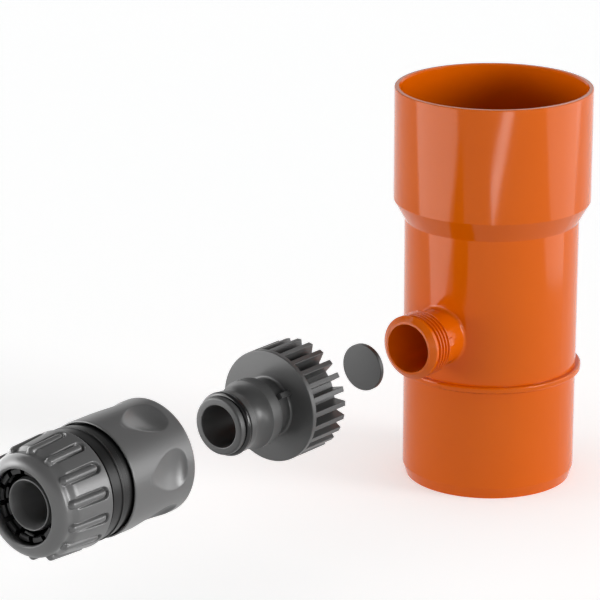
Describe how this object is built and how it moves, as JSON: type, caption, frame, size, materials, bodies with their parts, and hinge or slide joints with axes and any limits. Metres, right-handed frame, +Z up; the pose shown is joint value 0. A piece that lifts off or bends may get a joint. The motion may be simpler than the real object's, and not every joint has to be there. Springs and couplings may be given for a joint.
{
  "type": "rainwater diverter",
  "caption": "Downpipe diverter with a socket, stop ring and threaded side outlet, and its disc, finned adapter and hose connector drawn apart along the outlet's axis.",
  "frame": {"origin": "on the downpipe's axis at the underside of the stop ring, where the lower pipe ends", "axes": "+Z up along the downpipe, -Y out along the side outlet"},
  "size_m": [0.0958, 0.3833, 0.1965],
  "materials": {
    "diverter_body": "moulded orange PVC, glossy",
    "catch_ring": "moulded orange PVC, glossy",
    "shut_off_disc": "moulded dark gray plastic, satin",
    "outlet_adapter": "moulded dark gray plastic, satin",
    "adapter_gasket": "black rubber",
    "nozzle_o_ring": "black rubber, oiled",
    "connector_body": "moulded charcoal plastic, satin",
    "locking_claws": "moulded black plastic",
    "sleeve_spring": "bright spring wire",
    "release_sleeve": "moulded gray plastic, satin",
    "grip_collet": "moulded black plastic",
    "clamp_nut": "moulded gray plastic, satin"
  },
  "bodies": {
    "diverter": {"diverter_body": "diverter_body", "catch_ring": "catch_ring"},
    "disc": {"shut_off_disc": "shut_off_disc"},
    "adapter": {"outlet_adapter": "outlet_adapter", "adapter_gasket": "adapter_gasket", "nozzle_o_ring": "nozzle_o_ring"},
    "connector": {"connector_body": "connector_body", "locking_claws": "locking_claws", "sleeve_spring": "sleeve_spring", "grip_collet": "grip_collet"},
    "sleeve": {"release_sleeve": "release_sleeve"},
    "nut": {"clamp_nut": "clamp_nut"}
  },
  "joints": [
    {"name": "adapter_slide", "type": "slide", "parent": "diverter", "child": "adapter", "axis": [0, -1, 0], "range_m": [-0.1002, 0]},
    {"name": "disc_slide", "type": "slide", "parent": "diverter", "child": "disc", "axis": [0, -1, 0], "range_m": [-0.0336, 0]},
    {"name": "connector_slide", "type": "slide", "parent": "adapter", "child": "connector", "axis": [0, -1, 0], "range_m": [-0.0779, 0]},
    {"name": "sleeve_slide", "type": "slide", "parent": "connector", "child": "sleeve", "axis": [0, -1, 0], "range_m": [0, 0.0045], "stiffness_N_per_m": 800, "springref_m": -0.005, "deforming": ["sleeve_spring"]},
    {"name": "nut_turn", "type": "hinge", "parent": "connector", "child": "nut", "pos_m": [0, -0.32, 0.026], "axis": [0, -1, 0], "range_deg": [0, 360]}
  ],
  "couplings": [
    {"joint": "disc_slide", "follows": "adapter_slide", "ratio": 0.3343}
  ]
}
